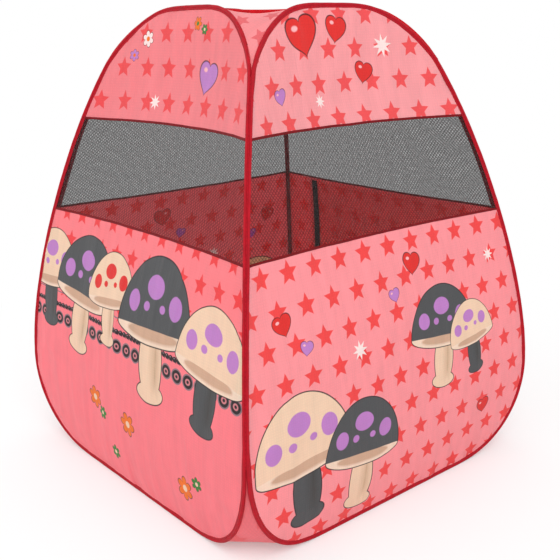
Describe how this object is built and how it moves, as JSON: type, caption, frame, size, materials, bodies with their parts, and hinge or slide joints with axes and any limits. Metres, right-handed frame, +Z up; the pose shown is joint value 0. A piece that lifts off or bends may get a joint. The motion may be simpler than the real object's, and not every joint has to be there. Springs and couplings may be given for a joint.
{
  "type": "pop-up play tent",
  "caption": "Square pop-up play tent with rounded sprung hoop walls, mesh window bands, cloth roof and floor, and a side-hung curtain door.",
  "frame": {"origin": "on the ground at the middle of the tent", "axes": "+Z up; -Y out of the front wall, +X out of the right wall, +Y out of the back wall with the door"},
  "size_m": [0.7502, 0.7531, 0.9],
  "materials": {
    "spring_steel": "drawn spring wire, satin",
    "zinc_plated_ferrule": "zinc plated, crimped",
    "crimson_sleeve": "woven crimson polyester binding",
    "pink_cloth": "printed salmon pink polyester",
    "black_mesh": "open knitted polyester net",
    "dark_red_hem": "folded dark red tape",
    "black_strip": "napped hook-and-loop tape",
    "red_tape": "flat woven tape",
    "black_toggle": "moulded, fine grain"
  },
  "bodies": {
    "front": {"front_hoop_wire": "spring_steel", "front_wire_ferrule": "zinc_plated_ferrule", "front_hoop_sleeve": "crimson_sleeve", "front_lower_panel": "pink_cloth", "front_mesh_window": "black_mesh", "front_upper_panel": "pink_cloth", "front_lower_hem": "dark_red_hem", "front_upper_hem": "dark_red_hem", "roof_near_panel": "pink_cloth", "roof_far_panel": "pink_cloth", "roof_seam_binding": "crimson_sleeve", "floor_sheet": "pink_cloth"},
    "right": {"right_hoop_wire": "spring_steel", "right_wire_ferrule": "zinc_plated_ferrule", "right_hoop_sleeve": "crimson_sleeve", "right_lower_panel": "pink_cloth", "right_mesh_window": "black_mesh", "right_upper_panel": "pink_cloth", "right_lower_hem": "dark_red_hem", "right_upper_hem": "dark_red_hem"},
    "back": {"back_hoop_wire": "spring_steel", "back_wire_ferrule": "zinc_plated_ferrule", "back_hoop_sleeve": "crimson_sleeve", "back_lower_panel": "pink_cloth", "back_mesh_window": "black_mesh", "back_upper_panel": "pink_cloth", "back_lower_hem": "dark_red_hem", "back_upper_hem": "dark_red_hem", "door_hook_strip": "black_strip", "door_tie_tape": "red_tape", "door_toggle": "black_toggle"},
    "left": {"left_hoop_wire": "spring_steel", "left_wire_ferrule": "zinc_plated_ferrule", "left_hoop_sleeve": "crimson_sleeve", "left_lower_panel": "pink_cloth", "left_mesh_window": "black_mesh", "left_upper_panel": "pink_cloth", "left_lower_hem": "dark_red_hem", "left_upper_hem": "dark_red_hem"},
    "door": {"door_flap": "pink_cloth", "door_loop_strip": "black_strip"}
  },
  "joints": [
    {"name": "right_wall_fold", "type": "hinge", "parent": "front", "child": "right", "pos_m": [0.45454, -0.45454, 0], "axis": [0.244, -0.244, -0.9386], "range_deg": [0, 25], "stiffness_Nm_per_rad": 2, "springref_deg": -45.84, "deforming": ["roof_near_panel", "roof_far_panel", "roof_seam_binding", "floor_sheet"]},
    {"name": "left_wall_fold", "type": "hinge", "parent": "front", "child": "left", "pos_m": [-0.41231, -0.41231, 0], "axis": [-0.2237, -0.2237, -0.9486], "range_deg": [0, 25.1]},
    {"name": "back_wall_fold", "type": "hinge", "parent": "left", "child": "back", "pos_m": [-0.45454, 0.45454, 0], "axis": [0.244, -0.244, 0.9386], "range_deg": [0, 25.1]},
    {"name": "door_swing", "type": "hinge", "parent": "back", "child": "door", "pos_m": [0.27965, 0.38874, 0.048], "axis": [0.0903, 0.1023, -0.9906], "range_deg": [0, 120]}
  ],
  "couplings": [
    {"joint": "left_wall_fold", "follows": "right_wall_fold", "ratio": 1},
    {"joint": "back_wall_fold", "follows": "right_wall_fold", "ratio": 1}
  ]
}
